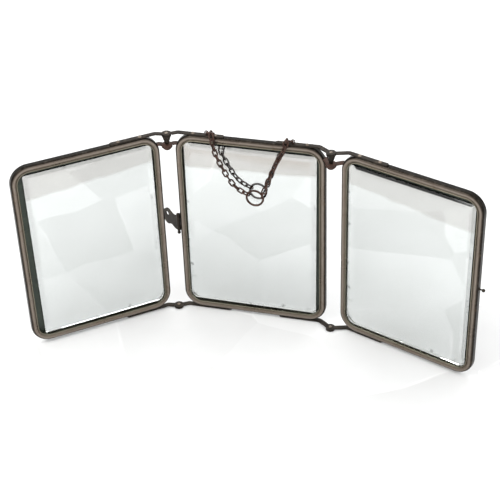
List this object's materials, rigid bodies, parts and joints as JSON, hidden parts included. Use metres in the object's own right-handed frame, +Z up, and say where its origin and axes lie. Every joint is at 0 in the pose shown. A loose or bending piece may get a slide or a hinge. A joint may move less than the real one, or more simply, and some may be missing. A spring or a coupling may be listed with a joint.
{
  "type": "triptych folding mirror",
  "caption": "Three-panel folding mirror in round-cornered metal rims with bevelled glass, lapped strap hinges, a hasp and stud to close it, and a chain with a ring to hang it.",
  "frame": {"origin": "centre of the centre panel's back face", "axes": "+X along the centre panel to the right as its mirror is looked at, +Y out of its back, away from the viewer, +Z up"},
  "size_m": [0.5242, 0.1333, 0.2537],
  "materials": {
    "rim_nickel": "worn nickel plate, satin, brown-grey, lightly pitted",
    "mirror_glass": "clear bevelled plate glass, greenish at the edge",
    "mirror_silvering": "mirror silvering with small spots",
    "backing_board": "dark stained backing board",
    "back_cover": "dark brown painted tinplate, dull",
    "strap_iron": "dark bronzed iron, worn",
    "rusted_iron": "rust-brown iron",
    "pin_steel": "worn bright at the heads",
    "rivet_iron": "dark iron rivet heads",
    "chain_iron": "rust-brown iron wire"
  },
  "bodies": {
    "centre_panel": {"centre_rim": "rim_nickel", "centre_glass": "mirror_glass", "centre_silvering": "mirror_silvering", "centre_backing_board": "backing_board", "centre_back_cover": "back_cover", "centre_strap_rivets": "rivet_iron", "centre_top_strap_left": "strap_iron", "centre_bottom_strap_left": "strap_iron", "centre_lower_leaf_left": "rusted_iron", "left_top_hinge_pin": "pin_steel", "left_bottom_hinge_pin": "pin_steel", "left_hinge_spacer": "strap_iron", "left_hinge_nut": "rusted_iron", "left_chain_anchor_links": "chain_iron", "centre_top_strap_right": "strap_iron", "centre_bottom_strap_right": "strap_iron", "centre_lower_leaf_right": "rusted_iron", "right_top_hinge_pin": "pin_steel", "right_bottom_hinge_pin": "pin_steel", "right_hinge_spacer": "strap_iron", "right_hinge_nut": "rusted_iron", "right_chain_anchor_links": "chain_iron", "hasp_base": "strap_iron", "hasp_pin": "strap_iron", "hasp_base_screws": "rivet_iron", "chain_eyelets": "chain_iron"},
    "left_panel": {"left_rim": "rim_nickel", "left_glass": "mirror_glass", "left_silvering": "mirror_silvering", "left_backing_board": "backing_board", "left_back_cover": "back_cover", "left_strap_rivets": "rivet_iron", "left_top_strap": "strap_iron", "left_bottom_strap": "strap_iron", "left_lower_leaf": "rusted_iron"},
    "right_panel": {"right_rim": "rim_nickel", "right_glass": "mirror_glass", "right_silvering": "mirror_silvering", "right_backing_board": "backing_board", "right_back_cover": "back_cover", "right_strap_rivets": "rivet_iron", "right_top_strap": "strap_iron", "right_bottom_strap": "strap_iron", "right_lower_leaf": "rusted_iron", "latch_stud": "strap_iron"},
    "hasp": {"hasp_leaf": "strap_iron"},
    "chain": {"left_chain_strand": "chain_iron", "right_chain_strand": "chain_iron"},
    "ring": {"hanging_ring": "chain_iron"}
  },
  "joints": [
    {"name": "left_fold", "type": "hinge", "parent": "centre_panel", "child": "left_panel", "pos_m": [-0.0958, -0.01135, 0], "axis": [0, 0, 1], "range_deg": [-38.9, 141.1]},
    {"name": "right_fold", "type": "hinge", "parent": "centre_panel", "child": "right_panel", "pos_m": [0.0958, -0.01615, 0], "axis": [0, 0, -1], "range_deg": [-21, 159]},
    {"name": "hasp_swing", "type": "hinge", "parent": "centre_panel", "child": "hasp", "pos_m": [-0.0905, -0.00635, 0], "axis": [0, 0, 1], "range_deg": [-56, 24]},
    {"name": "chain_swing", "type": "hinge", "parent": "centre_panel", "child": "chain", "pos_m": [0, -0.00975, 0.12719], "axis": [-1, 0, 0], "range_deg": [0, 170]},
    {"name": "ring_swing", "type": "hinge", "parent": "chain", "child": "ring", "pos_m": [0, -0.01135, 0.0526], "axis": [-1, 0, 0], "range_deg": [-8, 8]}
  ]
}
